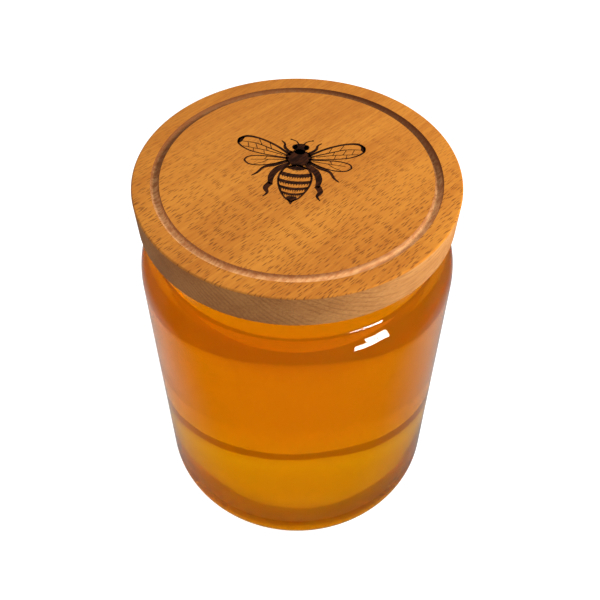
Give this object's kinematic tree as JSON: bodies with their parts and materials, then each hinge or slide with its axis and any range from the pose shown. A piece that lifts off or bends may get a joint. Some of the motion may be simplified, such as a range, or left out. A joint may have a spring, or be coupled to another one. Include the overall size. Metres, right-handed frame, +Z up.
{
  "type": "glass storage jar",
  "caption": "Straight-sided clear glass jar filled with honey, with a low rounded shoulder and a flat turned wooden lid that drops into its mouth.",
  "frame": {"origin": "middle of the flat ring that the jar stands on", "axes": "+Z up along the jar's axis of revolution, from the foot to the lid; the shown side faces -Y"},
  "size_m": [0.0972, 0.0972, 0.134],
  "materials": {
    "clear_glass": "polished, clear",
    "honey": "clear amber liquid, glossy",
    "beech": "turned beech, oiled on the top face and raw on the edge"
  },
  "bodies": {
    "root": {"glass_jar": "clear_glass", "honey": "honey", "beech_lid": "beech"}
  },
  "joints": []
}
